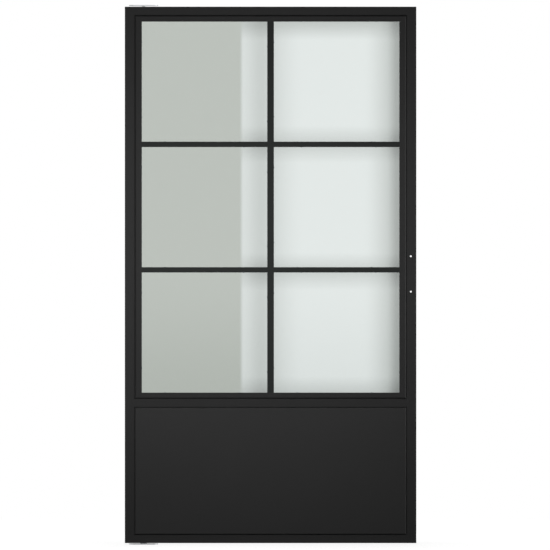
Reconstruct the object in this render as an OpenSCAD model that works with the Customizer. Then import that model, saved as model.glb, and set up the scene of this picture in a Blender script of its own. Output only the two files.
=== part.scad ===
// Pivot door: a welded steel ladder frame holds a six-pane glazing frame over a flat lower panel.
// X runs across the leaf, Y through it with the front facing -Y, and Z up.
// The origin is on the floor, below the middle of the leaf. Sizes are in millimetres.

/* [Leaf] */
// Width of the leaf
leaf_w = 1095; // [900:5:1300]
// Height of the leaf
leaf_h = 2015; // [1900:5:2400]
// Thickness of the leaf
leaf_d = 40; // [36:1:50]
// Gap between the floor and the leaf
floor_gap = 6; // [5:0.5:10]
// Gap between the leaf and the head plate
head_gap = 3; // [2:0.5:5]

/* [Welded frame] */
// Width of the two stiles
stile_w = 35; // [30:1:50]
// Height of the top rail
top_rail_h = 30; // [28:1:50]
// Height of the rail between the glass and the panel
mid_rail_h = 28; // [24:1:50]
// Height of the bottom rail
bottom_rail_h = 30; // [28:1:50]
// Wall of the frame tubes
tube_wall = 2; // [1.5:0.25:3]
// Rounding of the outer edges of the leaf
arris_r = 0.75; // [0.5:0.25:3]

/* [Shadow gap] */
// Width of the dark gap round the glazing frame and the panel
shadow_gap = 3.5; // [2:0.5:6]
// Depth of the spacer strips that close the gap
spacer_d = 26; // [12:1:28]
// Saw cut left between two spacer strips
spacer_cut = 0.1; // [0.05:0.05:3]

/* [Glazing frame] */
// Width of the two side bars
side_bar_w = 25; // [22:1:40]
// Height of the head bar
head_bar_h = 22; // [20:1:40]
// Height of the sill bar
sill_bar_h = 22; // [19:1:40]
// Width of the upright bar between the panes
upright_w = 25; // [18:1:32]
// Height of the cross bars between the panes
cross_h = 20; // [18:1:26]
// Depth of the bars in front of the glass seal
bar_front_d = 15; // [10:0.5:17]
// Wall of the hollow bars
bar_wall = 2; // [1.5:0.25:2.5]
// Thickness of the web behind a bar that parts two panes
web_t = 4; // [3:0.5:6]
// Rounding of the outer edges of the glazing frame
bar_round_r = 5; // [3:0.5:7]
// Rounding of the front edges of the bars beside the glass
bar_arris_r = 0.5; // [0.25:0.25:1.5]

/* [Glass] */
// Thickness of the glass
glass_t = 6; // [4:0.5:8]
// Thickness of the rubber seal round the glass
seal_t = 2; // [1.5:0.25:3]
// How far the lips of the seal stay back from the edge of the bar
seal_setback = 1.5; // [0.5:0.25:3]
// Wall of the glazing beads
bead_wall = 1.5; // [1:0.25:2]
// How far the beads sit in from the back face
bead_setback = 1; // [0.5:0.25:3]
// Rounding of the beads' edge that faces the room
bead_arris_r = 0.5; // [0.25:0.25:1.5]
// Clearance of the seals and beads in the pocket behind the bars
pocket_clearance = 0.05; // [0.02:0.01:0.2]
// Saw cut left between two beads
bead_cut = 0.3; // [0.2:0.1:1]

/* [Panel] */
// Height of the panel
panel_h = 474.5; // [300:0.5:700]
// Thickness of the panel sheet
sheet_t = 1.5; // [1:0.25:2]
// Outside radius of the folded edges of the panel
panel_bend_r = 3; // [2.5:0.25:5]
// Gap between the folded edges of the front and back tray
tray_gap = 2; // [1:0.5:6]
// Space between the core and the folded edges
core_gap = 2; // [1.5:0.25:10]

/* [Handle holes] */
// Diameter of the two holes for a pull handle
handle_hole_d = 7; // [5:0.5:9]
// Distance between the two holes
handle_pitch = 133; // [100:1:400]
// Height of their middle above the lower edge of the leaf
handle_z = 1011; // [800:1:1200]
// Distance of the holes from the edge of the leaf
handle_inset = 20.5; // [16:0.5:22]
// Wall of the sleeves round the holes inside the stile
sleeve_wall = 2.5; // [1.5:0.25:4]

/* [Screws] */
// Diameter of the bead screws
bead_screw_d = 3.5; // [2.5:0.25:4]
// Head diameter of the bead screws
bead_head_d = 6; // [5:0.25:7]
// Head height of the bead screws
bead_head_h = 1.8; // [1.2:0.2:2.4]
// Distance between the two screws of one bead
bead_screw_pitch = 280; // [150:5:320]
// Shift of the screws on facing beads so that they pass each other
bead_screw_shift = 8; // [5:0.5:20]
// Diameter of the screws that hold the glazing frame
frame_screw_d = 4; // [3:0.25:5]
// Head diameter of those screws
frame_head_d = 7.5; // [6:0.25:8]
// Head height of those screws
frame_head_h = 2.8; // [2:0.2:3.2]
// Length of those screws inside the ladder frame
frame_screw_bite = 3; // [2:0.5:6]
// Clearance round a screw in its hole
screw_clearance = 0.1; // [0.05:0.05:0.3]

/* [Pivots] */
// Distance of the pivot axis from the hinge side of the leaf
pivot_inset = 70; // [60:1:150]
// Length of the floor and head plates
plate_l = 110; // [100:1:160]
// Width of the floor and head plates
plate_w = 32; // [30:1:36]
// Thickness of the floor and head plates
plate_t = 4; // [3:0.25:4.5]
// Diameter of the fixing holes in the plates
plate_hole_d = 5.5; // [4:0.25:6.5]
// Diameter of their countersinks
plate_sink_d = 10; // [8:0.25:11]
// Distance between the two fixing holes of a plate
plate_pitch = 80; // [70:1:120]
// Diameter of the floor spindle
spindle_d = 14; // [10:0.5:16]
// Diameter of the spindle shoulder that carries the leaf
shoulder_d = 24; // [20:0.5:26]
// Diameter of the riveted end of the spindle
rivet_d = 10; // [8:0.5:10]
// Wall of the spindle bush
bush_wall = 3; // [2:0.25:4]
// Length of the spindle bush
bush_l = 20; // [14:0.5:21]
// Gap above the end of the spindle inside the bush
spindle_end_gap = 1; // [0.5:0.5:4]
// Chamfer on the tips of the spindle and the pin
tip_chamfer = 1; // [0.5:0.25:1.5]
// Diameter of the nose of the sprung pin at the head
pin_d = 10; // [8:0.5:12]
// Diameter of the piston end of the pin, which stops below the rail wall
piston_d = 14; // [13:0.5:18]
// Length of the piston end of the pin
piston_l = 9; // [6:0.5:10]
// Clearance round the nose of the pin in the rail wall
nose_clearance = 0.3; // [0.2:0.1:0.4]
// Wall of the bush in the head plate
head_bush_wall = 2.5; // [1.5:0.25:4]
// Length of the pin spring
spring_l = 13; // [11:0.5:13.5]
// Wire of the pin spring
spring_wire = 1; // [0.6:0.1:1.2]
// Turns of the pin spring
spring_turns = 4; // [3:1:6]
// Length of the two pivot blocks
block_l = 100; // [90:1:120]
// Diameter of the countersunk block screws
block_screw_d = 4; // [3:0.25:4]
// Length of the block screws
block_screw_l = 16; // [10:1:20]
// Distance between the two screws of a block
block_screw_pitch = 70; // [56:1:80]
// Clearance between a block and the tube round it
block_clearance = 0.3; // [0.1:0.1:1]
// Running clearance of a pin in its bush
running_clearance = 0.05; // [0.02:0.01:0.09]
// Clearance of a bush or rivet in its seat
seat_clearance = 0.02; // [0.01:0.01:0.05]

/* [Hidden] */
$fn = 48;
black = "#2b2c2c";
rubber_black = "#191a1a";
bare_steel = "#b8bbbe";
bronze = "#a8834e";
zinc = "#9aa0a5";
glass_tint = [0.80, 0.84, 0.81, 0.45];
core_grey = "#c9c5b4";

row_names = ["top", "middle", "bottom"];
col_names = ["left", "right"];
rows = len(row_names);
cols = len(col_names);
row_list = [0 : rows - 1];
col_list = [0 : cols - 1];
overcut = 1;

// Levels from the floor up
z_leaf0 = floor_gap;
z_leaf1 = z_leaf0 + leaf_h;
z_panel0 = z_leaf0 + bottom_rail_h + shadow_gap;
z_panel1 = z_panel0 + panel_h;
z_mid0 = z_panel1 + shadow_gap;
z_mid1 = z_mid0 + mid_rail_h;
z_glazing0 = z_mid1 + shadow_gap;
z_glazing1 = z_leaf1 - top_rail_h - shadow_gap;
z_plate = z_leaf1 + head_gap;

// Half widths from the middle of the leaf out
half_leaf = leaf_w / 2;
half_opening = half_leaf - stile_w;
half_insert = half_opening - shadow_gap;
pivot_x = -half_leaf + pivot_inset;
handle_x = half_leaf - handle_inset;

// Layers from the front face to the back face
y_front = -leaf_d / 2;
y_seal = y_front + bar_front_d;
seal_d = glass_t + 2 * seal_t;
y_bead = y_seal + seal_d;
y_back = leaf_d / 2;
bead_d = y_back - bead_setback - y_bead;

// Panes: what shows of each, and the pocket behind the bars that holds it
rebate_x = (upright_w - web_t) / 2;
rebate_z = (cross_h - web_t) / 2;
pane_w = (2 * (half_insert - side_bar_w) - (cols - 1) * upright_w) / cols;
pane_h = (z_glazing1 - z_glazing0 - head_bar_h - sill_bar_h - (rows - 1) * cross_h) / rows;
pocket_w = pane_w + 2 * rebate_x;
pocket_h = pane_h + 2 * rebate_z;
function pane_x(c) = -half_insert + side_bar_w + c * (pane_w + upright_w);
function pane_z(r) = z_glazing1 - head_bar_h - pane_h - r * (pane_h + cross_h);
function pane_mid_x(c) = pane_x(c) + pane_w / 2;
function pane_mid_z(r) = pane_z(r) + pane_h / 2;

// Pivot blocks fill the rail tubes, less their clearance
block_d = leaf_d - 2 * tube_wall - 2 * block_clearance;
top_block_h = top_rail_h - 2 * tube_wall - block_clearance;
bottom_block_h = bottom_rail_h - 2 * tube_wall - block_clearance;
bush_r = spindle_d / 2 + running_clearance + bush_wall;
head_bush_r = pin_d / 2 + running_clearance + head_bush_wall;
z_piston1 = z_leaf1 - tube_wall;
z_piston0 = z_piston1 - piston_l;
z_spring0 = z_piston0 - spring_l;

function pane_name(kind, r, c) = str(kind, "_", row_names[r], "_", col_names[c]);

// Profiles: the first axis runs from the outer face of a bar inwards, the second from front to back

// What is cut to round a corner at a point, with the solid lying along dx and dy from it
module corner_cut(r, at = [0, 0], dx = 1, dy = 1) {
    if (r > 0)
        translate(at) difference() {
            translate([-r, -r]) square(2 * r);
            translate([dx * r, dy * r]) circle(r);
        }
}

// A bar with two rounded outer corners, and its back part stepped in by the rebate
module bar_outline(w, d, r, rebate, front_d) {
    difference() {
        union() {
            square([w - rebate, d]);
            square([w, front_d]);
        }
        corner_cut(r);
        corner_cut(r, [0, d], 1, -1);
    }
}

module hollow_profile(w, wall, r, rebate = 0, front_d = leaf_d) {
    difference() {
        bar_outline(w, leaf_d, r, rebate, front_d);
        translate([wall, wall])
            bar_outline(w - 2 * wall, leaf_d - 2 * wall, max(r - wall, 0), rebate, front_d - 2 * wall);
    }
}

module rebated_profile(w, rebate) {
    difference() {
        hollow_profile(w, bar_wall, bar_round_r, rebate, bar_front_d);
        corner_cut(bar_arris_r, [w, 0], -1, 1);
    }
}

// The hollow front of a bar between two panes, centred on the first axis
module bar_front_profile(w) {
    difference() {
        translate([-w / 2, 0]) square([w, bar_front_d]);
        translate([-w / 2 + bar_wall, bar_wall]) square([w - 2 * bar_wall, bar_front_d - 2 * bar_wall]);
        for (side = [-1, 1]) corner_cut(bar_arris_r, [side * w / 2, 0], -side, 1);
    }
}

module web_profile() {
    translate([-web_t / 2, bar_front_d]) square([web_t, leaf_d - bar_front_d]);
}

// Extrusions of a profile: up, along X hanging down from z, and along X standing up from z
module upright_at(x, z0, z1) {
    translate([x, y_front, z0]) linear_extrude(z1 - z0) children();
}

module hanging_at(z, x0, x1) {
    translate([x0, y_front, z]) rotate([0, 90, 0]) linear_extrude(x1 - x0) children();
}

module standing_at(z, x0, x1) {
    translate([x0, y_front, z]) mirror([0, 0, 1]) rotate([0, 90, 0]) linear_extrude(x1 - x0) children();
}

// Corner joints: the joint line runs from the outer corner through the corner of the
// back part, lw by lh, to the inner corner of the front, w by h
function joint_line(w, h, lw, lh) = [[-lw, -lh], [lw, lh], [2 * w - lw, 2 * h - lh]];
function corner(x, toward_x, z, toward_z, line) = [for (p = line) [x + toward_x * p[0], z + toward_z * p[1]]];
function reversed(list) = [for (i = [len(list) - 1 : -1 : 0]) list[i]];

module within(outline) {
    intersection() {
        children();
        rotate([90, 0, 0]) linear_extrude(2 * leaf_d, center = true) polygon(outline);
    }
}

// The ladder frame
top_joint = joint_line(stile_w, top_rail_h, stile_w / 2, top_rail_h / 2);
bottom_joint = joint_line(stile_w, bottom_rail_h, stile_w / 2, bottom_rail_h / 2);
ladder_top_left = corner(-half_leaf, 1, z_leaf1, -1, top_joint);
ladder_top_right = corner(half_leaf, -1, z_leaf1, -1, top_joint);
ladder_bottom_left = corner(-half_leaf, 1, z_leaf0, 1, bottom_joint);
ladder_bottom_right = corner(half_leaf, -1, z_leaf0, 1, bottom_joint);

module ladder_profile(w) {
    hollow_profile(w, tube_wall, arris_r);
}

module left_stile() {
    within(concat(ladder_bottom_left, reversed(ladder_top_left)))
        upright_at(-half_leaf, z_leaf0, z_leaf1) ladder_profile(stile_w);
}

module hinge_stile() {
    color(black) difference() {
        left_stile();
        glazing_screw_holes();
    }
}

module handle_stile() {
    color(black) difference() {
        mirror([1, 0, 0]) left_stile();
        glazing_screw_holes();
        at_handle_holes() cylinder(d = handle_hole_d, h = leaf_d + 2 * overcut, center = true);
    }
}

module top_rail() {
    color(black) difference() {
        within(concat(ladder_top_left, reversed(ladder_top_right)))
            hanging_at(z_leaf1, -half_leaf, half_leaf) ladder_profile(top_rail_h);
        glazing_screw_holes();
        translate([pivot_x, 0, z_piston1 - overcut])
            cylinder(d = pin_d + 2 * nose_clearance, h = tube_wall + 2 * overcut);
        at_top_block_screws() block_screw_shape(screw_clearance);
    }
}

module mid_rail() {
    color(black) difference() {
        hanging_at(z_mid1, -half_opening, half_opening) hollow_profile(mid_rail_h, tube_wall, 0);
        glazing_screw_holes();
    }
}

module bottom_rail() {
    color(black) difference() {
        within(concat(ladder_bottom_left, reversed(ladder_bottom_right)))
            standing_at(z_leaf0, -half_leaf, half_leaf) ladder_profile(bottom_rail_h);
        translate([pivot_x, 0, z_leaf0 - overcut])
            cylinder(d = shoulder_d + 2 * overcut, h = tube_wall + 2 * overcut);
        at_bottom_block_screws() block_screw_shape(screw_clearance);
    }
}

// Handle holes
module at_handle_holes() {
    for (side = [-1, 1])
        translate([handle_x, 0, z_leaf0 + handle_z + side * handle_pitch / 2]) rotate([90, 0, 0]) children();
}

module handle_sleeves() {
    color(zinc) at_handle_holes() difference() {
        cylinder(d = handle_hole_d + 2 * sleeve_wall, h = leaf_d - 2 * tube_wall, center = true);
        cylinder(d = handle_hole_d, h = leaf_d, center = true);
    }
}

// The glazing frame
head_joint = joint_line(side_bar_w, head_bar_h, side_bar_w - rebate_x, head_bar_h - rebate_z);
sill_joint = joint_line(side_bar_w, sill_bar_h, side_bar_w - rebate_x, sill_bar_h - rebate_z);
glazing_top_left = corner(-half_insert, 1, z_glazing1, -1, head_joint);
glazing_top_right = corner(half_insert, -1, z_glazing1, -1, head_joint);
glazing_bottom_left = corner(-half_insert, 1, z_glazing0, 1, sill_joint);
glazing_bottom_right = corner(half_insert, -1, z_glazing0, 1, sill_joint);

module left_glazing_bar() {
    within(concat(glazing_bottom_left, reversed(glazing_top_left)))
        upright_at(-half_insert, z_glazing0, z_glazing1) rebated_profile(side_bar_w, rebate_x);
}

// A bar of the glazing frame, drilled for its screws
module drilled_bar() {
    color(black) difference() {
        children();
        bead_screw_holes(all_bead_screws);
        glazing_screw_holes();
    }
}

module glazing_bar_left() {
    drilled_bar() left_glazing_bar();
}

module glazing_bar_right() {
    drilled_bar() mirror([1, 0, 0]) left_glazing_bar();
}

module glazing_bar_head() {
    drilled_bar()
        within(concat(glazing_top_left, reversed(glazing_top_right)))
            hanging_at(z_glazing1, -half_insert, half_insert) rebated_profile(head_bar_h, rebate_z);
}

module glazing_bar_sill() {
    drilled_bar()
        within(concat(glazing_bottom_left, reversed(glazing_bottom_right)))
            standing_at(z_glazing0, -half_insert, half_insert) rebated_profile(sill_bar_h, rebate_z);
}

// The webs run on into the rebates of the bars that they meet
module upright_bar() {
    z0 = z_glazing0 + sill_bar_h;
    z1 = z_glazing1 - head_bar_h;
    drilled_bar() {
        upright_at(0, z0, z1) bar_front_profile(upright_w);
        upright_at(0, z0 - rebate_z, z1 + rebate_z) web_profile();
    }
}

module cross_bar(r, c) {
    x0 = pane_x(c);
    x1 = x0 + pane_w;
    z = pane_z(r) - cross_h / 2;
    drilled_bar() {
        hanging_at(z, x0, x1) bar_front_profile(cross_h);
        hanging_at(z, x0 - rebate_x, x1 + rebate_x) web_profile();
    }
}

// Glass, seals and beads of one pane
module pocket_block(r, c, inset, y, d) {
    translate([pane_x(c) - rebate_x + inset, y, pane_z(r) - rebate_z + inset])
        cube([pocket_w - 2 * inset, d, pocket_h - 2 * inset]);
}

module pane(r, c) {
    color(glass_tint) pocket_block(r, c, seal_t, y_seal + seal_t, glass_t);
}

module seal(r, c) {
    color(rubber_black) difference() {
        pocket_block(r, c, pocket_clearance, y_seal, seal_d);
        pocket_block(r, c, seal_t, y_seal + seal_t, glass_t);
        translate([pane_x(c) - seal_setback, y_seal - overcut, pane_z(r) - seal_setback])
            cube([pane_w + 2 * seal_setback, seal_d + 2 * overcut, pane_h + 2 * seal_setback]);
    }
}

// A square tube that reaches from its bar, less the clearance, to the edge of the pane
module bead_profile(rebate) {
    w = rebate - pocket_clearance;
    difference() {
        translate([-w, 0]) square([w, bead_d]);
        translate([-w + bead_wall, bead_wall]) square([w - 2 * bead_wall, bead_d - 2 * bead_wall]);
        corner_cut(bead_arris_r, [0, bead_d], -1, -1);
    }
}

// Cross beads fill the width of the pocket, and side beads stand between them
module beads(r, c) {
    x0 = pane_x(c);
    x1 = x0 + pane_w;
    z0 = pane_z(r);
    z1 = z0 + pane_h;
    end = rebate_x - pocket_clearance;
    color(black) difference() {
        translate([0, y_bead - y_front, 0]) {
            hanging_at(z1, x0 - end, x1 + end) bead_profile(rebate_z);
            standing_at(z0, x0 - end, x1 + end) bead_profile(rebate_z);
            upright_at(x0, z0 + bead_cut, z1 - bead_cut) bead_profile(rebate_x);
            upright_at(x1, z0 + bead_cut, z1 - bead_cut) mirror([1, 0]) bead_profile(rebate_x);
        }
        bead_screw_holes(bead_screws_of(r, c));
    }
}

// Bead screws: each place is a point on the face of a bead, a turn that
// points the screw into the bar, and the width of that bead
function bead_screws_of(r, c) = [
    for (side = [-1, 1])
        let (
            x = pane_mid_x(c),
            z = pane_mid_z(r),
            y = y_bead + bead_d / 2,
            along = side * bead_screw_pitch / 2,
            shift = bead_screw_shift
        )
        each [
            [[x - pane_w / 2, y, z + along + shift], [0, -90, 0], rebate_x],
            [[x + pane_w / 2, y, z + along - shift], [0, 90, 0], rebate_x],
            [[x + along + shift, y, z + pane_h / 2], [0, 0, 0], rebate_z],
            [[x + along - shift, y, z - pane_h / 2], [180, 0, 0], rebate_z]
        ]
];
all_bead_screws = [for (r = row_list, c = col_list) each bead_screws_of(r, c)];

module bead_screw_holes(places) {
    for (p = places)
        translate(p[0]) rotate(p[1]) translate([0, 0, -overcut])
            cylinder(d = bead_screw_d + 2 * screw_clearance, h = p[2] + web_t + 2 * overcut);
}

module bead_screws() {
    color(zinc) for (p = all_bead_screws)
        translate(p[0]) rotate(p[1]) {
            translate([0, 0, -bead_head_h]) cylinder(d = bead_head_d, h = bead_head_h);
            cylinder(d = bead_screw_d, h = p[2] + web_t);
        }
}

// Glazing screws: they point out of the glazing frame into the ladder frame, one at each outer pane edge
module at_glazing_screws() {
    for (r = row_list, side = [-1, 1])
        translate([side * half_insert, 0, pane_mid_z(r)]) rotate([0, side * 90, 0]) children();
    for (c = col_list) {
        translate([pane_mid_x(c), 0, z_glazing1]) children();
        translate([pane_mid_x(c), 0, z_glazing0]) rotate([180, 0, 0]) children();
    }
}

// A hole for the shank through the outer walls, and a wider one in the inner wall for the head
module glazing_screw_holes() {
    at_glazing_screws() {
        translate([0, 0, -bar_wall - overcut])
            cylinder(
                d = frame_screw_d + 2 * screw_clearance,
                h = bar_wall + shadow_gap + tube_wall + 2 * overcut
            );
        translate([0, 0, -side_bar_w])
            cylinder(d = frame_head_d + 2 * screw_clearance, h = side_bar_w - bar_wall - frame_head_h);
    }
}

module glazing_screws() {
    color(zinc) at_glazing_screws() {
        translate([0, 0, -bar_wall - frame_head_h]) cylinder(d = frame_head_d, h = frame_head_h);
        translate([0, 0, -bar_wall])
            cylinder(d = frame_screw_d, h = bar_wall + shadow_gap + tube_wall + frame_screw_bite);
    }
}

// Strips in the gap round an insert: two across the opening and two between them
module spacer_strips(z0, z1) {
    for (z = [z0 - shadow_gap, z1])
        translate([-half_opening, -spacer_d / 2, z]) cube([2 * half_opening, spacer_d, shadow_gap]);
    for (x = [-half_opening, half_insert])
        translate([x, -spacer_d / 2, z0 + spacer_cut]) cube([shadow_gap, spacer_d, z1 - z0 - 2 * spacer_cut]);
}

module glazing_spacers() {
    color(rubber_black) difference() {
        spacer_strips(z_glazing0, z_glazing1);
        glazing_screw_holes();
    }
}

module panel_spacers() {
    color(rubber_black) spacer_strips(z_panel0, z_panel1);
}

// The panel: two folded trays back to back over a core
module folded_block(w, h, d, r) {
    intersection() {
        linear_extrude(h) folded_section(w, d, r);
        translate([0, 0, h]) rotate([0, 90, 0]) linear_extrude(w) folded_section(h, d, r);
    }
}

module folded_section(w, d, r) {
    difference() {
        square([w, d]);
        corner_cut(r);
        corner_cut(r, [w, 0], -1, 1);
    }
}

module tray() {
    tray_w = 2 * half_insert;
    tray_d = (leaf_d - tray_gap) / 2;
    translate([-half_insert, y_front, z_panel0]) difference() {
        folded_block(tray_w, panel_h, tray_d, panel_bend_r);
        translate([sheet_t, sheet_t, sheet_t])
            folded_block(tray_w - 2 * sheet_t, panel_h - 2 * sheet_t, tray_d, panel_bend_r - sheet_t);
    }
}

module panel_front_tray() {
    color(black) tray();
}

module panel_back_tray() {
    color(black) mirror([0, 1, 0]) tray();
}

module panel_core() {
    inset = sheet_t + core_gap;
    color(core_grey) translate([-half_insert + inset, y_front + sheet_t, z_panel0 + inset])
        cube([2 * (half_insert - inset), leaf_d - 2 * sheet_t, panel_h - 2 * inset]);
}

// Plates on the floor and the head of the opening, drawn with the countersunk side up
module plate_blank() {
    linear_extrude(plate_t) {
        square([plate_l - plate_w, plate_w], center = true);
        for (side = [-1, 1]) translate([side * (plate_l - plate_w) / 2, 0]) circle(d = plate_w);
    }
}

module drilled_plate(centre_d) {
    sink_h = (plate_sink_d - plate_hole_d) / 2;
    difference() {
        plate_blank();
        translate([0, 0, -overcut]) cylinder(d = centre_d, h = plate_t + 2 * overcut);
        for (side = [-1, 1]) translate([side * plate_pitch / 2, 0, 0]) {
            translate([0, 0, -overcut]) cylinder(d = plate_hole_d, h = plate_t + 2 * overcut);
            translate([0, 0, plate_t - sink_h]) cylinder(d1 = plate_hole_d, d2 = plate_sink_d, h = sink_h);
        }
    }
}

module floor_plate() {
    color(bare_steel) translate([pivot_x, 0, 0]) drilled_plate(rivet_d + 2 * seat_clearance);
}

module head_plate() {
    color(bare_steel) translate([pivot_x, 0, z_plate + plate_t]) mirror([0, 0, 1])
        drilled_plate(2 * (head_bush_r + seat_clearance));
}

module ring(d_out, d_in, h) {
    difference() {
        cylinder(d = d_out, h = h);
        translate([0, 0, -overcut]) cylinder(d = d_in, h = h + 2 * overcut);
    }
}

module head_bush() {
    color(bronze) translate([pivot_x, 0, z_plate])
        ring(2 * head_bush_r, pin_d + 2 * running_clearance, plate_t);
}

// A turned spindle: riveted end, shoulder and journal
module floor_spindle() {
    z_end = z_leaf0 + tube_wall + bush_l - spindle_end_gap;
    color(bare_steel) translate([pivot_x, 0, 0]) rotate_extrude() polygon([
        [0, 0],
        [rivet_d / 2, 0],
        [rivet_d / 2, plate_t],
        [shoulder_d / 2, plate_t],
        [shoulder_d / 2, floor_gap],
        [spindle_d / 2, floor_gap],
        [spindle_d / 2, z_end - tip_chamfer],
        [spindle_d / 2 - tip_chamfer, z_end],
        [0, z_end]
    ]);
}

// The washer fills the hole in the rail wall, so the bush rests on it
module thrust_washer() {
    color(bronze) translate([pivot_x, 0, z_leaf0])
        ring(shoulder_d, spindle_d + 2 * screw_clearance, tube_wall);
}

module bottom_pivot_bush() {
    color(bronze) translate([pivot_x, 0, z_leaf0 + tube_wall])
        ring(2 * bush_r, spindle_d + 2 * running_clearance, bush_l);
}

module pivot_block(z, h) {
    translate([pivot_x - block_l / 2, -block_d / 2, z]) cube([block_l, block_d, h]);
}

module bottom_pivot_block() {
    color(zinc) difference() {
        pivot_block(z_leaf0 + tube_wall, bottom_block_h);
        translate([pivot_x, 0, z_leaf0]) cylinder(r = bush_r + seat_clearance, h = tube_wall + bush_l);
        at_bottom_block_screws() block_screw_shape(screw_clearance);
    }
}

module top_pivot_block() {
    color(zinc) difference() {
        pivot_block(z_leaf1 - tube_wall - top_block_h, top_block_h);
        translate([pivot_x, 0, z_spring0])
            cylinder(d = piston_d + 2 * running_clearance, h = spring_l + piston_l + overcut);
        at_top_block_screws() block_screw_shape(screw_clearance);
    }
}

// Block screws point down from their countersunk heads
module at_top_block_screws() {
    for (side = [-1, 1]) translate([pivot_x + side * block_screw_pitch / 2, 0, z_leaf1]) children();
}

module at_bottom_block_screws() {
    for (side = [-1, 1])
        translate([pivot_x + side * block_screw_pitch / 2, 0, z_leaf0]) rotate([180, 0, 0]) children();
}

// A countersunk screw as deep as the tube wall, or the hole for it
module block_screw_shape(clearance) {
    head_r = block_screw_d / 2 + tube_wall;
    rotate_extrude() polygon([
        [0, 0],
        [head_r + clearance, 0],
        [block_screw_d / 2 + clearance, -tube_wall],
        [block_screw_d / 2 + clearance, -block_screw_l - clearance],
        [0, -block_screw_l - clearance]
    ]);
}

module pivot_screws() {
    color(zinc) {
        at_top_block_screws() block_screw_shape(0);
        at_bottom_block_screws() block_screw_shape(0);
    }
}

// The sprung pin: a piston that the spring holds up against the rail wall,
// and a nose that ends flush with the top of the head plate
module top_pin() {
    z_end = z_plate + plate_t;
    color(bare_steel) translate([pivot_x, 0, 0]) rotate_extrude() polygon([
        [0, z_piston0],
        [piston_d / 2, z_piston0],
        [piston_d / 2, z_piston1],
        [pin_d / 2, z_piston1],
        [pin_d / 2, z_end - tip_chamfer],
        [pin_d / 2 - tip_chamfer, z_end],
        [0, z_end]
    ]);
}

// A coil of round wire swept along its helix
module pin_spring() {
    sides = 8;
    steps = 16 * spring_turns;
    wire_r = spring_wire / 2;
    coil_r = piston_d / 2 - spring_wire;
    rise = spring_l - spring_wire;
    points = [
        for (i = [0 : steps], k = [0 : sides - 1])
            let (a = 360 * spring_turns * i / steps, b = 360 * k / sides, r = coil_r + wire_r * cos(b))
                [r * cos(a), r * sin(a), wire_r + rise * i / steps + wire_r * sin(b)]
    ];
    walls = [
        for (i = [0 : steps - 1], k = [0 : sides - 1])
            let (n = (k + 1) % sides)
                [i * sides + k, i * sides + n, (i + 1) * sides + n, (i + 1) * sides + k]
    ];
    first_end = [for (k = [sides - 1 : -1 : 0]) k];
    last_end = [for (k = [0 : sides - 1]) steps * sides + k];
    color(bare_steel) translate([pivot_x, 0, z_spring0])
        polyhedron(points, concat([first_end, last_end], walls));
}

floor_plate();
floor_spindle();
thrust_washer();
head_plate();
head_bush();
hinge_stile();
handle_stile();
top_rail();
mid_rail();
bottom_rail();
handle_sleeves();
glazing_bar_left();
glazing_bar_right();
glazing_bar_head();
glazing_bar_sill();
upright_bar();
for (c = col_list) {
    cross_bar(0, c);
    cross_bar(1, c);
}
for (r = row_list, c = col_list) {
    pane(r, c);
    seal(r, c);
    beads(r, c);
}
bead_screws();
glazing_spacers();
glazing_screws();
panel_front_tray();
panel_back_tray();
panel_core();
panel_spacers();
bottom_pivot_block();
bottom_pivot_bush();
top_pivot_block();
pivot_screws();
top_pin();
pin_spring();
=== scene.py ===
import math

import bmesh
import bpy
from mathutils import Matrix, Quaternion, Vector


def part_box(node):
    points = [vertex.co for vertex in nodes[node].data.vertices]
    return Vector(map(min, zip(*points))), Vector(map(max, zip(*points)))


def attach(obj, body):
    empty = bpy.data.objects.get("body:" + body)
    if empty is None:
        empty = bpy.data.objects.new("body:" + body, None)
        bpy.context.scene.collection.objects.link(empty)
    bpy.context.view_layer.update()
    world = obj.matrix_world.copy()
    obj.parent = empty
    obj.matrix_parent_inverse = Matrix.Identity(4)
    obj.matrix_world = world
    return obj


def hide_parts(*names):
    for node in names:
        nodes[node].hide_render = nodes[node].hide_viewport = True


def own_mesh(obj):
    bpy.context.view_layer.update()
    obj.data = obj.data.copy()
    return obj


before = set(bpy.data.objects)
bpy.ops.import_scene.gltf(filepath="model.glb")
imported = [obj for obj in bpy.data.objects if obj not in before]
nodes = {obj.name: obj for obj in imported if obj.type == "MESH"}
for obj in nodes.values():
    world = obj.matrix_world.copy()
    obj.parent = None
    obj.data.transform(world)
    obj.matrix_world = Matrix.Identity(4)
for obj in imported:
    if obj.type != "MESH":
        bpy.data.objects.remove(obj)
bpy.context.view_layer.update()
scene = bpy.context.scene
print("frame loaded:", len(nodes), "nodes")


def linear(code):
    # sRGB hex to linear light
    parts = [int(code[i:i + 2], 16) / 255 for i in (1, 3, 5)]
    return tuple(p / 12.92 if p <= 0.04045 else ((p + 0.055) / 1.055) ** 2.4 for p in parts) + (1.0,)


def addNode(tree, kind, inputs=None, **settings):
    # Inputs go by name, or by number where names repeat: a colour mix has its factor at 0
    # and its colours at 6 and 7
    node = tree.nodes.new(kind)
    for name, value in settings.items():
        setattr(node, name, value)
    for name, value in (inputs or {}).items():
        if isinstance(value, bpy.types.NodeSocket):
            tree.links.new(value, node.inputs[name])
        else:
            node.inputs[name].default_value = value
    return node


def newMaterial(name, kind="ShaderNodeBsdfPrincipled"):
    material = bpy.data.materials.new(name)
    material.use_nodes = True
    tree = material.node_tree
    tree.nodes.clear()
    surface = addNode(tree, kind)
    addNode(tree, "ShaderNodeOutputMaterial", {"Surface": surface.outputs[0]})
    return material, tree, surface


# Fine-texture black powder coat: a dull, faintly mottled sheen that softens every reflection
frameCoat = {"dark": "#282828", "pale": "#2b2b2b", "roughness": 0.5, "specular": 0.105,
             "mottle": 0.25, "mottleGloss": 0.03}
# The panel sheet is coloured a shade paler than the tubes
panelCoat = {"dark": "#2e2e2e", "pale": "#313131", "roughness": 0.47, "specular": 0.11,
             "mottle": 0.4, "mottleGloss": 0.02}
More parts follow.
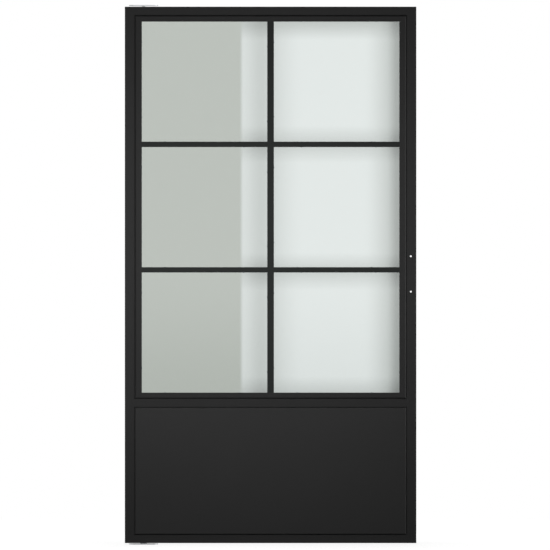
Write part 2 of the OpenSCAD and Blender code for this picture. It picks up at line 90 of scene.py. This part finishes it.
# The thin bars between the panes are coloured darker and duller than the tubes
barCoat = dict(frameCoat, dark="#242625", pale="#282a29", specular=0.085)
# The real grain of half a millimetre is drawn coarser, so that it shows from a step away
coatGrain = {"size": 0.002, "height": 0.00004}


def powderCoat(name, values):
    material, tree, surface = newMaterial(name)
    place = addNode(tree, "ShaderNodeTexCoord").outputs["Object"]
    mottle = addNode(tree, "ShaderNodeTexNoise", {
        "Vector": place, "Scale": 1 / values["mottle"], "Detail": 2.0})
    shade = addNode(tree, "ShaderNodeMix", {
        0: mottle.outputs[0], 6: linear(values["dark"]), 7: linear(values["pale"])}, data_type="RGBA")
    gloss = addNode(tree, "ShaderNodeMapRange", {
        "Value": mottle.outputs[0],
        "To Min": values["roughness"] - values["mottleGloss"],
        "To Max": values["roughness"] + values["mottleGloss"],
    })
    grain = addNode(tree, "ShaderNodeTexNoise", {
        "Vector": place, "Scale": 1 / coatGrain["size"], "Detail": 1.0})
    bump = addNode(tree, "ShaderNodeBump", {"Height": grain.outputs[0], "Distance": coatGrain["height"]})
    surface.inputs["Specular IOR Level"].default_value = values["specular"]
    tree.links.new(shade.outputs[2], surface.inputs["Base Color"])
    tree.links.new(gloss.outputs[0], surface.inputs["Roughness"])
    tree.links.new(bump.outputs[0], surface.inputs["Normal"])
    return material


blackCoat = powderCoat("black powder coat on steel tube", frameCoat)
thinCoat = powderCoat("black powder coat on thin bars", barCoat)
sheetCoat = powderCoat("black powder coat on steel sheet", panelCoat)

# Lightly tinted float glass: it dims the white behind it to a cool grey-green, mirrors a little
# of what is in front, and has the very slow waves of glass that cooled on rollers
glassLook = {"tint": "#dde3e1", "ior": 1.52, "wave": 0.3, "waveHeight": 0.000004}
tintedGlass, tree, surface = newMaterial("tinted float glass")
place = addNode(tree, "ShaderNodeTexCoord").outputs["Object"]
waves = addNode(tree, "ShaderNodeTexNoise", {"Vector": place, "Scale": 1 / glassLook["wave"], "Detail": 0.0})
bump = addNode(tree, "ShaderNodeBump", {"Height": waves.outputs[0], "Distance": glassLook["waveHeight"]})
surface.inputs["Base Color"].default_value = linear(glassLook["tint"])
surface.inputs["Roughness"].default_value = 0.0
surface.inputs["IOR"].default_value = glassLook["ior"]
surface.inputs["Transmission Weight"].default_value = 1.0
tree.links.new(bump.outputs[0], surface.inputs["Normal"])


# Pieces with a grain of their own: two shades, two roughnesses and a bump from one pattern
def grainy(name, values):
    material, tree, surface = newMaterial(name)
    place = addNode(tree, "ShaderNodeTexCoord").outputs["Object"]
    scaled = addNode(tree, "ShaderNodeMapping", {
        "Vector": place, "Scale": [1 / size for size in values["grain"]]})
    pattern = addNode(tree, values["pattern"], {
        "Vector": scaled.outputs[0], "Scale": 1.0}, **values["settings"])
    value = pattern.outputs[0]
    shade = addNode(tree, "ShaderNodeMix", {
        0: value, 6: linear(values["shades"][0]), 7: linear(values["shades"][1])}, data_type="RGBA")
    gloss = addNode(tree, "ShaderNodeMapRange", {
        "Value": value, "To Min": values["roughness"][0], "To Max": values["roughness"][1]})
    bump = addNode(tree, "ShaderNodeBump", {"Height": value, "Distance": values["height"]})
    surface.inputs["Metallic"].default_value = values["metallic"]
    surface.inputs["Specular IOR Level"].default_value = values["specular"]
    tree.links.new(shade.outputs[2], surface.inputs["Base Color"])
    tree.links.new(gloss.outputs[0], surface.inputs["Roughness"])
    tree.links.new(bump.outputs[0], surface.inputs["Normal"])
    return material


# Extruded EPDM rubber: matt, a little darker than the coat, with a faint bloom in clouds of 8 mm
sealLook = {"pattern": "ShaderNodeTexNoise", "settings": {}, "grain": (0.008, 0.008, 0.008),
            "shades": ("#1a1b1b", "#212222"), "roughness": (0.6, 0.75), "height": 0.00002,
            "metallic": 0.0, "specular": 0.2}
sealRubber = grainy("extruded EPDM rubber", sealLook)

# Cellular rubber: dull, with open pores of 1.5 mm
spacerLook = {"pattern": "ShaderNodeTexVoronoi", "settings": {}, "grain": (0.0015, 0.0015, 0.0015),
              "shades": ("#2c2c2c", "#3a3a3a"), "roughness": (0.8, 0.95), "height": 0.0002,
              "metallic": 0.0, "specular": 0.15}
spacerRubber = grainy("cellular rubber", spacerLook)

# Brushed stainless steel: lengthwise strokes, drawn coarser than the real 0.1 mm so that they show
stainlessLook = {"pattern": "ShaderNodeTexNoise", "settings": {}, "grain": (0.03, 0.0006, 0.0006),
                 "shades": ("#b9bbbd", "#cfd1d3"), "roughness": (0.24, 0.42), "height": 0.00001,
                 "metallic": 1.0, "specular": 0.5}
stainless = grainy("brushed stainless steel", stainlessLook)

# Sintered bronze: warm and half dull, with oil-dark pores of 0.6 mm
bronzeLook = {"pattern": "ShaderNodeTexVoronoi", "settings": {}, "grain": (0.0006, 0.0006, 0.0006),
              "shades": ("#8d6a3c", "#b9935c"), "roughness": (0.5, 0.32), "height": 0.00002,
              "metallic": 1.0, "specular": 0.5}
bearingBronze = grainy("sintered bronze", bronzeLook)

# Zinc plate: a cool grey with a soft shine in clouds of 6 mm
zincLook = {"pattern": "ShaderNodeTexNoise", "settings": {}, "grain": (0.006, 0.006, 0.006),
            "shades": ("#a9afb6", "#c2c5c4"), "roughness": (0.24, 0.38), "height": 0.000004,
            "metallic": 1.0, "specular": 0.5}
zincPlate = grainy("zinc plated steel", zincLook)

# Kraft paper honeycomb: dry and brown, with cell walls 12 mm apart, shut inside the panel
honeycombLook = {"pattern": "ShaderNodeTexVoronoi", "settings": {"feature": "DISTANCE_TO_EDGE"},
                 "grain": (0.012, 0.012, 0.012), "shades": ("#b79c74", "#86704e"), "roughness": (0.85, 0.95),
                 "height": 0.0005, "metallic": 0.0, "specular": 0.5}
honeycomb = grainy("kraft paper honeycomb", honeycombLook)

# Each finish with the starts of the names of the CAD nodes that have it
finishes = [
    (blackCoat, ("hinge_stile", "handle_stile", "top_rail", "mid_rail", "bottom_rail",
                 "glazing_bar_", "beads_")),
    (thinCoat, ("upright_bar", "cross_bar_")),
    (sheetCoat, ("panel_front_tray", "panel_back_tray")),
    (tintedGlass, ("pane_",)),
    (sealRubber, ("seal_",)),
    (spacerRubber, ("glazing_spacers", "panel_spacers")),
    (stainless, ("floor_plate", "floor_spindle", "head_plate", "top_pin", "pin_spring")),
    (bearingBronze, ("thrust_washer", "head_bush", "bottom_pivot_bush")),
    (zincPlate, ("handle_sleeves", "bottom_pivot_block", "top_pivot_block", "glazing_screws",
                 "bead_screws", "pivot_screws")),
    (honeycomb, ("panel_core",)),
]
for material, starts in finishes:
    for name, node in nodes.items():
        if name.startswith(starts):
            node.data.materials.clear()
            node.data.materials.append(material)
print("finishes set")


def linkMesh(name, vertices, faces):
    mesh = bpy.data.meshes.new(name)
    mesh.from_pydata(vertices, [], faces)
    thing = bpy.data.objects.new(name, mesh)
    scene.collection.objects.link(thing)
    return thing


def applyModifiers(piece):
    # Leaves the plain mesh that the modifiers make
    mesh = bpy.data.meshes.new_from_object(piece.evaluated_get(bpy.context.evaluated_depsgraph_get()))
    piece.modifiers.clear()
    piece.data = mesh


# Geometry Nodes: a new tree with named inputs, the way each one ends, and its run on a piece
def newShapeTree(name, inputs):
    tree = bpy.data.node_groups.new(name, "GeometryNodeTree")
    identifiers = {}
    for label, kind in inputs:
        socket = tree.interface.new_socket(label, in_out="INPUT", socket_type="NodeSocket" + kind)
        identifiers[label] = socket.identifier
    tree.interface.new_socket("Shape", in_out="OUTPUT", socket_type="NodeSocketGeometry")
    return tree, addNode(tree, "NodeGroupInput").outputs, identifiers


def endShapeTree(tree, geometry, finish):
    real = addNode(tree, "GeometryNodeRealizeInstances", {"Geometry": geometry})
    coated = addNode(tree, "GeometryNodeSetMaterial", {"Geometry": real.outputs[0], "Material": finish})
    addNode(tree, "NodeGroupOutput", {0: coated.outputs[0]})


def runShapeTree(piece, tree, identifiers, values):
    modifier = piece.modifiers.new(tree.name, "NODES")
    modifier.node_group = tree
    for label, value in values.items():
        modifier[identifiers[label]] = value
    applyModifiers(piece)


# Screws: heads with a cross recess, one on each place where the CAD has a plain screw
screwRules = {
    "seam": 1e-6,         # points of the CAD mesh closer than this are one
    "rim": 0.9,           # points this far out, as a share of the radius, are the rim of the head
    "headSteps": 32, "shankSteps": 24,
    "domeSteps": 6,       # rings from the crown of a pan head to its side
    "recessAbove": 0.2,   # how far the cutter stands out of the face, as a share of its depth
    "recessFoot": 0.4,    # width of the recess at its foot, as a share of that at the face
    "recessTurn": 2.4,    # radians from one screw to the next, so that no two recesses line up
}


def islands(node):
    # Joins the seams of the shading, then walks from vertex to vertex
    mesh = bmesh.new()
    mesh.from_mesh(node.data)
    bmesh.ops.remove_doubles(mesh, verts=mesh.verts, dist=screwRules["seam"])
    found, seen = [], set()
    for start in mesh.verts:
        if start in seen:
            continue
        group, waiting = [], [start]
        seen.add(start)
        while waiting:
            vertex = waiting.pop()
            group.append(vertex.co.copy())
            for edge in vertex.link_edges:
                other = edge.other_vert(vertex)
                if other not in seen:
                    seen.add(other)
                    waiting.append(other)
        found.append(group)
    mesh.free()
    return found


def screwPlaces(node):
    # Each screw as the middle of its outer face, its direction and its length
    places = []
    for group in islands(node):
        lo = Vector(map(min, zip(*group)))
        hi = Vector(map(max, zip(*group)))
        size = hi - lo
        axis = max(range(3), key=lambda i: size[i])
        middle = (lo + hi) / 2
        across = max(size[i] for i in range(3) if i != axis) / 2
        rim = []  # where along the screw its widest points lie
        for point in group:
            off = point - middle
            off[axis] = 0
            if off.length > across * screwRules["rim"]:
                rim.append(point[axis])
        headSide = 1 if sum(rim) / len(rim) > middle[axis] else -1
        face = middle.copy()
        face[axis] = hi[axis] if headSide > 0 else lo[axis]
        aim = Vector((0, 0, 0))
        aim[axis] = -headSide
        places.append((face, aim, size[axis]))
    return sorted(places, key=lambda p: tuple(round(c, 5) for c in p[0]))


def lathe(name, profile):
    # Turns a profile of radius and height about Z; its first and last points lie on the axis
    steps = screwRules["headSteps"]
    vertices, rings, faces = [], [], []
    for radius, height in profile:
        count = steps if radius > 0 else 1
        rings.append([len(vertices) + i for i in range(count)])
        for i in range(count):
            angle = 2 * math.pi * i / steps
            vertices.append((radius * math.cos(angle), radius * math.sin(angle), height))
    for a, b in zip(rings, rings[1:]):
        for i in range(steps):
            j = (i + 1) % steps
            corners = [a[i % len(a)], a[j % len(a)], b[j % len(b)], b[i % len(b)]]
            faces.append(tuple(dict.fromkeys(corners)))
    return linkMesh(name, vertices, faces)


def crossRecess(width, span, depth):
    # Two crossed tapered wings that are cut out of a head from its face at z = 0
    ends = ((-depth * screwRules["recessAbove"], span / 2), (depth, span / 2 * screwRules["recessFoot"]))
    sides = ((3, 2, 1, 0), (4, 5, 6, 7), (0, 1, 5, 4), (1, 2, 6, 5), (2, 3, 7, 6), (3, 0, 4, 7))
    vertices, faces = [], []
    for turn in (0, 1):
        base = len(vertices)
        for height, reach in ends:
            for sx, sy in ((-1, -1), (1, -1), (1, 1), (-1, 1)):
                x, y = sx * reach, sy * width / 2
                vertices.append((x, y, height) if turn == 0 else (-y, x, height))
        faces += [tuple(base + k for k in side) for side in sides]
    return linkMesh("recess", vertices, faces)


def cutHead(head, values):
    recess = crossRecess(values["recessWidth"], values["recessSpan"], values["recessDepth"])
    cut = head.modifiers.new("recess", "BOOLEAN")
    cut.operation = "DIFFERENCE"
    cut.solver = "EXACT"
    cut.use_self = True
    cut.object = recess
    applyModifiers(head)
    bpy.data.objects.remove(recess)
    return head


screwTree, given, screwSockets = newShapeTree("screws on points", (
    ("Points", "Geometry"), ("Head", "Object"), ("Head Height", "Float"),
    ("Shank Radius", "Float"), ("Finish", "Material")))
turn = addNode(screwTree, "GeometryNodeInputNamedAttribute", {"Name": "turn"}, data_type="FLOAT_VECTOR")
reach = addNode(screwTree, "GeometryNodeInputNamedAttribute", {"Name": "reach"}, data_type="FLOAT")
turned = addNode(screwTree, "FunctionNodeEulerToRotation", {0: turn.outputs[0]})
headShape = addNode(screwTree, "GeometryNodeObjectInfo", {"Object": given["Head"]})
heads = addNode(screwTree, "GeometryNodeInstanceOnPoints", {
    "Points": given["Points"], "Instance": headShape.outputs["Geometry"], "Rotation": turned.outputs[0]})
# A rod of length 1 that stands on its end, then stretched to the reach of each shank
rod = addNode(screwTree, "GeometryNodeMeshCylinder", {
    "Vertices": screwRules["shankSteps"], "Radius": given["Shank Radius"], "Depth": 1.0})
lifted = addNode(screwTree, "GeometryNodeTransform", {
    "Geometry": rod.outputs["Mesh"], "Translation": (0, 0, 0.5)})
stretch = addNode(screwTree, "ShaderNodeCombineXYZ", {0: 1.0, 1: 1.0, 2: reach.outputs[0]})
shanks = addNode(screwTree, "GeometryNodeInstanceOnPoints", {
    "Points": given["Points"], "Instance": lifted.outputs[0],
    "Rotation": turned.outputs[0], "Scale": stretch.outputs[0]})
below = addNode(screwTree, "ShaderNodeCombineXYZ", {2: given["Head Height"]})
sunk = addNode(screwTree, "GeometryNodeTranslateInstances", {
    "Instances": shanks.outputs[0], "Translation": below.outputs[0], "Local Space": True})
both = addNode(screwTree, "GeometryNodeJoinGeometry")
screwTree.links.new(heads.outputs[0], both.inputs[0])
screwTree.links.new(sunk.outputs[0], both.inputs[0])
endShapeTree(screwTree, both.outputs[0], given["Finish"])


def screwsFor(nodeName, name, head, values):
    places = screwPlaces(nodes[nodeName])
    screws = linkMesh(name, [face for face, aim, length in places], [])
    screws.data.attributes.new("turn", "FLOAT_VECTOR", "POINT")
    screws.data.attributes.new("reach", "FLOAT", "POINT")
    for i, (face, aim, length) in enumerate(places):
        roll = Quaternion((0, 0, 1), i * screwRules["recessTurn"])
        facing = Vector((0, 0, 1)).rotation_difference(aim)
        screws.data.attributes["turn"].data[i].vector = (facing @ roll).to_euler()
        screws.data.attributes["reach"].data[i].value = length - values["height"]
    runShapeTree(screws, screwTree, screwSockets, {
        "Head": head, "Head Height": values["height"], "Shank Radius": values["shank"], "Finish": zincPlate})
    bpy.data.objects.remove(head)
    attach(screws, "leaf")
    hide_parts(nodeName)
    print(name, len(places), "placed")


# Pan heads of the glazing beads; heights run from the face of the head inwards
panHead = {"radius": 0.003, "height": 0.0018, "crown": 0.0016, "dome": 0.7, "shank": 0.00175,
           "recessWidth": 0.0008, "recessSpan": 0.0034, "recessDepth": 0.0012}
panProfile = [(0, 0)]
for i in range(screwRules["domeSteps"] + 1):
    angle = i * math.pi / 2 / screwRules["domeSteps"]
    panProfile.append((panHead["crown"] + (panHead["radius"] - panHead["crown"]) * math.sin(angle),
                       panHead["height"] * panHead["dome"] * (1 - math.cos(angle))))
panProfile += [(panHead["radius"], panHead["height"]), (0, panHead["height"])]
screwsFor("bead_screws", "beadScrewHeads", cutHead(lathe("pan head", panProfile), panHead), panHead)

# Countersunk heads of the pivot blocks, flush with the rails
sunkHead = {"radius": 0.004, "height": 0.002, "shank": 0.002,
            "recessWidth": 0.0010, "recessSpan": 0.0044, "recessDepth": 0.0014}
sunkProfile = [(0, 0), (sunkHead["radius"], 0),
               (sunkHead["radius"] / 2, sunkHead["height"]), (0, sunkHead["height"])]
screwsFor("pivot_screws", "pivotScrewHeads", cutHead(lathe("sunk head", sunkProfile), sunkHead), sunkHead)

# Spring under the top pin: a wound wire that shortens when the pin is pushed down
spring = {"wire": 0.001, "turns": 4.0, "stepsPerTurn": 32, "wireSides": 12, "kept": 6 / 13}
springTree, given, springSockets = newShapeTree("wound spring", (
    ("Coil Radius", "Float"), ("Coil Height", "Float"), ("Turns", "Float"),
    ("Wire Radius", "Float"), ("Foot", "Vector"), ("Finish", "Material")))
path = addNode(springTree, "GeometryNodeCurveSpiral", {
    "Resolution": spring["stepsPerTurn"], "Rotations": given["Turns"], "Start Radius": given["Coil Radius"],
    "End Radius": given["Coil Radius"], "Height": given["Coil Height"]})
wire = addNode(springTree, "GeometryNodeCurvePrimitiveCircle", {
    "Resolution": spring["wireSides"], "Radius": given["Wire Radius"]})
wound = addNode(springTree, "GeometryNodeCurveToMesh", {
    "Curve": path.outputs[0], "Profile Curve": wire.outputs[0], "Fill Caps": True})
stood = addNode(springTree, "GeometryNodeTransform", {
    "Geometry": wound.outputs[0], "Translation": given["Foot"]})
endShapeTree(springTree, stood.outputs[0], given["Finish"])

lo, hi = [Vector(corner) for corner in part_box("pin_spring")]
middle = (lo + hi) / 2
wireRadius = spring["wire"] / 2
pinSpring = linkMesh("pinSpring", [], [])
runShapeTree(pinSpring, springTree, springSockets, {
    "Coil Radius": (hi.x - lo.x) / 2 - wireRadius,
    "Coil Height": hi.z - lo.z - spring["wire"],
    "Turns": spring["turns"],
    "Wire Radius": wireRadius,
    "Foot": (middle.x, middle.y, lo.z + wireRadius),
    "Finish": stainless,
})
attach(pinSpring, "leaf")
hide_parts("pin_spring")
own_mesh(pinSpring)
print("spring wound:", len(pinSpring.data.vertices), "points")

# Camera: far off and dead ahead, so that the leaf shows almost without perspective
view = {"x": 0.0166, "z": 1.0131, "away": 40.0, "lens": 696.65, "reach": 200.0}
camera = bpy.data.objects.new("camera", bpy.data.cameras.new("camera"))
scene.collection.objects.link(camera)
camera.location = (view["x"], -view["away"], view["z"])
camera.rotation_euler = (math.pi / 2, 0, 0)
camera.data.lens = view["lens"]
camera.data.clip_end = view["reach"]
camera.data.dof.use_dof = False
scene.camera = camera
scene.view_settings.view_transform = "Standard"

# White studio: white where it is seen, dimmer as a light
studio = {"ambient": 0.07, "floorGlow": 0.87, "glowNear": 0.3, "glowFar": 1.7,
          "floorGrey": 0.22, "floorHalf": 4.0}
world = bpy.data.worlds.new("white studio")
scene.world = world
world.use_nodes = True
tree = world.node_tree
tree.nodes.clear()


def seenDirectly(tree):
    # 1 where the camera sees it, straight, in a mirror or through glass
    rays = addNode(tree, "ShaderNodeLightPath").outputs
    seen = addNode(tree, "ShaderNodeMath", {
        0: rays["Is Camera Ray"], 1: rays["Is Glossy Ray"]}, operation="MAXIMUM")
    return addNode(tree, "ShaderNodeMath", {
        0: seen.outputs[0], 1: rays["Is Transmission Ray"]}, operation="MAXIMUM").outputs[0]


strength = addNode(tree, "ShaderNodeMapRange", {
    "Value": seenDirectly(tree), "To Min": studio["ambient"], "To Max": 1.0})
sky = addNode(tree, "ShaderNodeBackground", {"Color": (1, 1, 1, 1), "Strength": strength.outputs[0]})
addNode(tree, "ShaderNodeOutputWorld", {"Surface": sky.outputs[0]})


# A stage thing that only the named rays see
def setStage(thing, material, rays):
    thing.data.materials.append(material)
    for ray in ("camera", "diffuse", "glossy", "transmission", "volume_scatter", "shadow"):
        setattr(thing, "visible_" + ray, ray in rays)


def levelSheet(name, back, z):
    # Lies on the floor, from the front edge of the floor to the given back edge
    half = studio["floorHalf"]
    corners = [(-half, -half, z), (half, -half, z), (half, back, z), (-half, back, z)]
    return linkMesh(name, corners, [(0, 1, 2, 3)])


def uprightSheet(name, y, wide, high):
    (x0, x1), (z0, z1) = wide, high
    return linkMesh(name, [(x0, y, z0), (x1, y, z0), (x1, y, z1), (x0, y, z1)], [(0, 1, 2, 3)])


# Pale floor: it keeps the shadow of the leaf, and glows further out to the white of the studio
paleFloor, tree, both = newMaterial("pale studio floor", "ShaderNodeAddShader")
place = addNode(tree, "ShaderNodeTexCoord").outputs["Object"]
outward = addNode(tree, "ShaderNodeVectorMath", {0: place}, operation="LENGTH")
whiter = addNode(tree, "ShaderNodeMapRange", {
    "Value": outward.outputs["Value"], "From Min": studio["glowNear"], "From Max": studio["glowFar"],
    "To Min": studio["floorGlow"], "To Max": 1.0}, interpolation_type="SMOOTHSTEP")
level = addNode(tree, "ShaderNodeMath", {
    0: seenDirectly(tree), 1: whiter.outputs[0]}, operation="MULTIPLY")
glow = addNode(tree, "ShaderNodeEmission", {"Strength": level.outputs[0]})
grey = addNode(tree, "ShaderNodeBsdfDiffuse", {"Color": (studio["floorGrey"],) * 3 + (1,)})
tree.links.new(glow.outputs[0], both.inputs[0])
tree.links.new(grey.outputs[0], both.inputs[1])
setStage(levelSheet("floor", studio["floorHalf"], 0), paleFloor,
         ("camera", "diffuse", "glossy", "transmission", "volume_scatter", "shadow"))

# A dark mat on the floor before the leaf and the dark far end of the studio, in reflections only
dark = {"level": 0.1, "matBack": -0.06, "matHeight": 0.001, "wallAway": 60.0, "wallHalf": 40.0}
darkCloth, tree, glow = newMaterial("dark studio cloth", "ShaderNodeEmission")
glow.inputs["Strength"].default_value = dark["level"]
setStage(levelSheet("mat", dark["matBack"], dark["matHeight"]), darkCloth, ("glossy",))
wallSpan = (-dark["wallHalf"], dark["wallHalf"])
setStage(uprightSheet("farEnd", -dark["wallAway"], wallSpan, wallSpan), darkCloth, ("glossy",))


# Standing screens. Their edges are given as where they show on the glass, dark end first.
def onScreen(place, axis, away):
    middle = view["x"] if axis == "X" else view["z"]
    return place + (place - middle) * away / view["away"]


def softEdges(axes, tree, values, names):
    # How bright a screen is: one fade for each named edge, multiplied
    total = 1.0
    for name in names:
        axis, darkEnd, brightEnd = values[name]
        fade = addNode(tree, "ShaderNodeMapRange", {
            "Value": axes[axis],
            "From Min": onScreen(darkEnd, axis, values["away"]),
            "From Max": onScreen(brightEnd, axis, values["away"]),
        }, interpolation_type="SMOOTHSTEP")
        product = addNode(tree, "ShaderNodeMath", {0: total, 1: fade.outputs[0]}, operation="MULTIPLY")
        total = product.outputs[0]
    return total


def standScreen(name, y, values):
    wide = [onScreen(place, "X", values["away"]) for place in values["wide"]]
    high = [onScreen(place, "Z", values["away"]) for place in values["high"]]
    return uprightSheet(name, y, wide, high)


# A soft screen close in front, in reflections only: it lifts the middle of the leaf and fades downwards
fill = {"away": 1.8, "level": 1.75, "wide": (-0.95, 0.95), "high": (0.3, 2.5),
        "foot": ("Z", 0.49, 1.03), "top": ("Z", 2.4, 2.0),
        "left": ("X", -0.9, -0.65), "right": ("X", 0.9, 0.65)}
softScreen, tree, both = newMaterial("soft white screen", "ShaderNodeAddShader")
place = addNode(tree, "ShaderNodeTexCoord").outputs["Object"]
axes = addNode(tree, "ShaderNodeSeparateXYZ", {0: place}).outputs
level = addNode(tree, "ShaderNodeMath", {
    0: softEdges(axes, tree, fill, ("foot", "top", "left", "right")), 1: fill["level"]}, operation="MULTIPLY")
glow = addNode(tree, "ShaderNodeEmission", {"Strength": level.outputs[0]})
clear = addNode(tree, "ShaderNodeBsdfTransparent")
tree.links.new(glow.outputs[0], both.inputs[0])
tree.links.new(clear.outputs[0], both.inputs[1])
setStage(standScreen("softScreen", -fill["away"], fill), softScreen, ("glossy",))

# What stands far behind the glass: a grey wall that ends behind the left panes, and white beyond it, with a
# painted band of light just right of the wall's end.
# Painted shade darkens the white towards the top and the right edge, and painted shadows of the bars dim it
# close to the bars that lie across it, most of all beside the upright and at the right.
behind = {
    "away": 60.0, "wide": (-0.53, 0.53), "high": (0.53, 1.99),
    "wall": "#cbccc6", "whiteInPaintedShade": "#cbccca", "wallEdge": ("X", -0.118, -0.101),
    "left": ("X", -0.115, 0.13), "right": ("X", 0.50, 0.345), "top": ("Z", 2.015, 1.897),
    "paintedLightBand": ("X", -0.02, -0.11), "paintedBandLevel": 0.72,
    "corner": ("X", 0.435, 0.48), "cornerShade": 0.31,
    "bars": (0.562, 1.0265, 1.504, 1.9655), "barShade": (-0.03, 0.07),
    "stripLeft": ("X", -0.118, -0.03), "stripRight": ("X", 0.01, -0.005), "rightEdge": ("X", 0.40, 0.47),
    "edgeShade": 0.36,
}
backWall, tree, glow = newMaterial("grey wall and white beyond it", "ShaderNodeEmission")
place = addNode(tree, "ShaderNodeTexCoord").outputs["Object"]
axes = addNode(tree, "ShaderNodeSeparateXYZ", {0: place}).outputs
grow = 1 + behind["away"] / view["away"]  # the wall is further off than the glass, so all on it is larger
# Painted shadows of the bars on the white: 1 away from the bars, falling off towards each of them
clearOfPaintedShade = 1.0  # falls off towards each bar
for height in behind["bars"]:
    above = addNode(tree, "ShaderNodeMath", {
        0: axes["Z"], 1: onScreen(height, "Z", behind["away"])}, operation="SUBTRACT")
    off = addNode(tree, "ShaderNodeMath", {0: above.outputs[0]}, operation="ABSOLUTE")
    lift = addNode(tree, "ShaderNodeMapRange", {
        "Value": off.outputs[0],
        "From Min": behind["barShade"][0] * grow,
        "From Max": behind["barShade"][1] * grow,
    })
    product = addNode(tree, "ShaderNodeMath", {0: clearOfPaintedShade, 1: lift.outputs[0]}, operation="MULTIPLY")
    clearOfPaintedShade = product.outputs[0]
# A painted band of light just right of the wall's end, added to the white
paintedBandMask = softEdges(axes, tree, behind, ("wallEdge", "paintedLightBand", "top"))
paintedLightBand = addNode(tree, "ShaderNodeMath", {0: paintedBandMask, 1: behind["paintedBandLevel"]}, operation="MULTIPLY")
# The white rises from the wall's end and fades with painted shade towards the top and the right edge; the
# painted band of light is added, and the painted bar shadows multiply it
white = addNode(tree, "ShaderNodeMath", {
    0: softEdges(axes, tree, behind, ("left", "right", "top")), 1: paintedLightBand.outputs[0]}, operation="ADD")
whiteness = addNode(tree, "ShaderNodeMath", {0: white.outputs[0], 1: clearOfPaintedShade}, operation="MULTIPLY")
# Under the painted shade the white turns to the grey of the wall, or to a more neutral grey right of the
# wall's end
ground = addNode(tree, "ShaderNodeMix", {
    0: softEdges(axes, tree, behind, ("wallEdge",)),
    6: linear(behind["wall"]), 7: linear(behind["whiteInPaintedShade"])}, data_type="RGBA")
shade = addNode(tree, "ShaderNodeMix", {
    0: whiteness.outputs[0], 6: ground.outputs[2], 7: (1, 1, 1, 1)}, data_type="RGBA")
# Painted shade along the right edge of the right panes
dim = addNode(tree, "ShaderNodeMapRange", {
    "Value": softEdges(axes, tree, behind, ("corner",)), "To Min": 1.0, "To Max": 1 - behind["cornerShade"]})
# Deeper painted shade close to the bars, in the band beside the upright and along the right edge of the right
# panes
edges = addNode(tree, "ShaderNodeMath", {
    0: softEdges(axes, tree, behind, ("stripLeft", "stripRight")),
    1: softEdges(axes, tree, behind, ("rightEdge",))}, operation="ADD")
# How deep the painted bar shadow is at each point
shut = addNode(tree, "ShaderNodeMath", {0: 1.0, 1: clearOfPaintedShade}, operation="SUBTRACT")
shutEdges = addNode(tree, "ShaderNodeMath", {0: edges.outputs[0], 1: shut.outputs[0]}, operation="MULTIPLY")
paintedEdgeShade = addNode(tree, "ShaderNodeMath", {
    0: shutEdges.outputs[0], 1: behind["edgeShade"]}, operation="MULTIPLY")
level = addNode(tree, "ShaderNodeMath", {0: dim.outputs[0], 1: paintedEdgeShade.outputs[0]}, operation="SUBTRACT")
tree.links.new(shade.outputs[2], glow.inputs["Color"])
tree.links.new(level.outputs[0], glow.inputs["Strength"])
setStage(standScreen("backWall", behind["away"], behind), backWall, ("transmission",))

# Lamps: a broad one ahead and to the left, one behind, and a strip at the right that only glints
# on rounded edges
lamps = {
    "key": {"place": (-0.45, -1.3, 1.07), "target": (-0.45, 0, 1.07),
            "power": 21.5, "size": (2.2, 1.2), "gives": "diffuse"},
    "back": {"place": (0.4, 1.8, 1.3), "target": (0, 0, 1.0),
             "power": 24, "size": (2.0, 1.2), "gives": "diffuse"},
    "strip": {"place": (2.6, -0.8, 1.1), "target": (0.4, 0, 1.1),
              "power": 100, "size": (0.3, 1.8), "gives": "glossy"},
}
for name, values in lamps.items():
    light = bpy.data.lights.new(name, "AREA")
    light.energy = values["power"]
    light.shape = "RECTANGLE"
    light.size, light.size_y = values["size"]
    lamp = bpy.data.objects.new(name, light)
    scene.collection.objects.link(lamp)
    lamp.location = values["place"]
    aim = Vector(values["target"]) - Vector(values["place"])
    lamp.rotation_euler = aim.to_track_quat("-Z", "Y").to_euler()
    for ray in ("camera", "diffuse", "glossy", "transmission"):
        setattr(lamp, "visible_" + ray, ray == values["gives"])
print("studio set")
